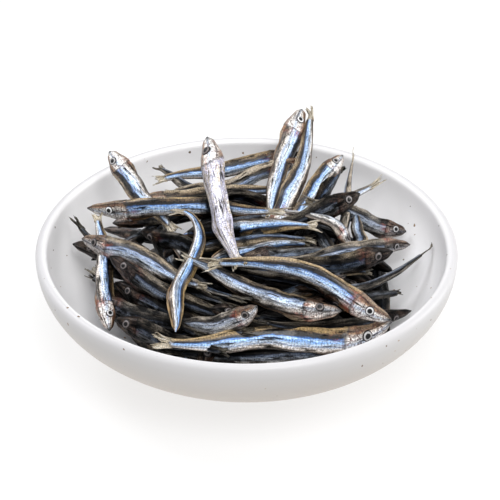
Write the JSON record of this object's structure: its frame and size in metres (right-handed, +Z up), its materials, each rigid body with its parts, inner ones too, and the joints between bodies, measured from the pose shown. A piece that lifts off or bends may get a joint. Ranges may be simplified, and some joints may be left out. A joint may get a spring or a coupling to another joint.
{
  "type": "bowl of dried anchovies",
  "caption": "Shallow round speckled stoneware bowl on a foot ring, heaped above its rim with whole dried anchovies lying across each other.",
  "frame": {"origin": "middle of the underside of the foot ring, on the surface that the bowl stands on", "axes": "+Z up, along the bowl's axis; -Y towards the front, the side with the long fish that lies along the rim; +X to the right seen from the front"},
  "size_m": [0.16, 0.16, 0.0742],
  "materials": {
    "glazed_stoneware": "satin off-white glaze with sparse brown specks",
    "dried_fish": "dried skin, silver blue band on the flank, brown back, tan belly"
  },
  "bodies": {
    "root": {"bowl": "glazed_stoneware", "anchovy_heap": "dried_fish"}
  },
  "joints": []
}
